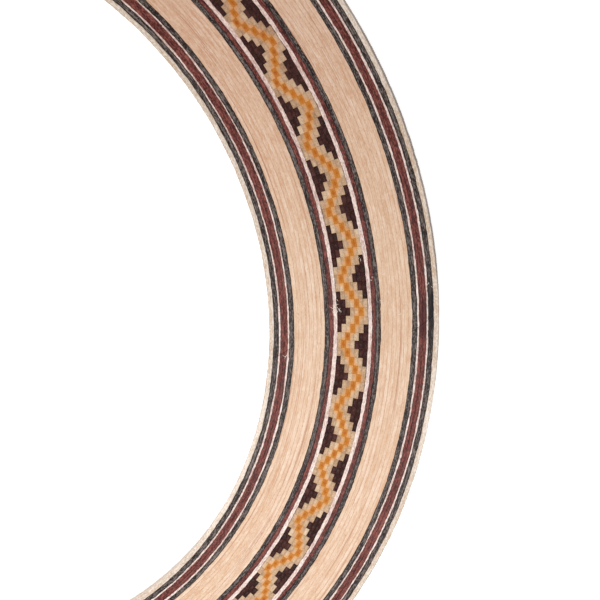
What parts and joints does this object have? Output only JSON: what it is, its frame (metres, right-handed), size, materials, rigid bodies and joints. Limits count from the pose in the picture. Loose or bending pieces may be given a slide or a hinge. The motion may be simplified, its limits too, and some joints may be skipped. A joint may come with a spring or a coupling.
{
  "type": "soundhole rosette",
  "caption": "Flat wooden inlay ring for a guitar's sound hole, with laminated veneer borders, wide natural wood bands and a zigzag stick mosaic.",
  "frame": {"origin": "centre of the ring, on the plane of its back face", "axes": "+Z out of the show face along the ring's axis, +X through the middle of a dark inner tooth of the mosaic, about a degree from the outer border's joint"},
  "size_m": [0.12, 0.12, 0.0015],
  "materials": {
    "edge_veneer": "pale maple-like veneer, bare",
    "black_veneer": "black-dyed veneer, charcoal with fine pale fibres",
    "white_veneer": "white veneer, bare",
    "red_veneer": "red-brown dyed veneer",
    "natural_veneer": "natural peach-beige veneer, bare, fine grain round the ring",
    "dark_stick": "aubergine-brown dyed veneer, end grain",
    "cream_stick": "cream veneer, end grain",
    "orange_stick": "orange-dyed veneer, end grain"
  },
  "bodies": {
    "root": {"inner_border_black_rim_side": "black_veneer", "inner_border_black_wood_side": "black_veneer", "inner_border_red_1": "red_veneer", "inner_border_red_2": "red_veneer", "inner_border_white_rim_side": "white_veneer", "inner_border_white_wood_side": "white_veneer", "inner_edge_band": "edge_veneer", "inner_wood_ply_1": "natural_veneer", "inner_wood_ply_2": "natural_veneer", "inner_wood_ply_3": "natural_veneer", "inner_wood_ply_4": "natural_veneer", "inner_wood_ply_5": "natural_veneer", "inner_wood_ply_6": "natural_veneer", "inner_wood_ply_7": "natural_veneer", "inner_wood_ply_8": "natural_veneer", "mosaic_black_line_inner": "black_veneer", "mosaic_black_line_outer": "black_veneer", "mosaic_cream_inner": "cream_stick", "mosaic_cream_outer": "cream_stick", "mosaic_dark_teeth_inner": "dark_stick", "mosaic_dark_teeth_outer": "dark_stick", "mosaic_orange_zigzag": "orange_stick", "mosaic_red_line_inner": "red_veneer", "mosaic_red_line_outer": "red_veneer", "mosaic_white_line_inner": "white_veneer", "mosaic_white_line_outer": "white_veneer", "outer_border_black_rim_side": "black_veneer", "outer_border_black_wood_side": "black_veneer", "outer_border_red_1": "red_veneer", "outer_border_red_2": "red_veneer", "outer_border_white_rim_side": "white_veneer", "outer_border_white_wood_side": "white_veneer", "outer_edge_band": "edge_veneer", "outer_wood_ply_1": "natural_veneer", "outer_wood_ply_2": "natural_veneer", "outer_wood_ply_3": "natural_veneer", "outer_wood_ply_4": "natural_veneer", "outer_wood_ply_5": "natural_veneer", "outer_wood_ply_6": "natural_veneer", "outer_wood_ply_7": "natural_veneer", "outer_wood_ply_8": "natural_veneer"}
  },
  "joints": []
}
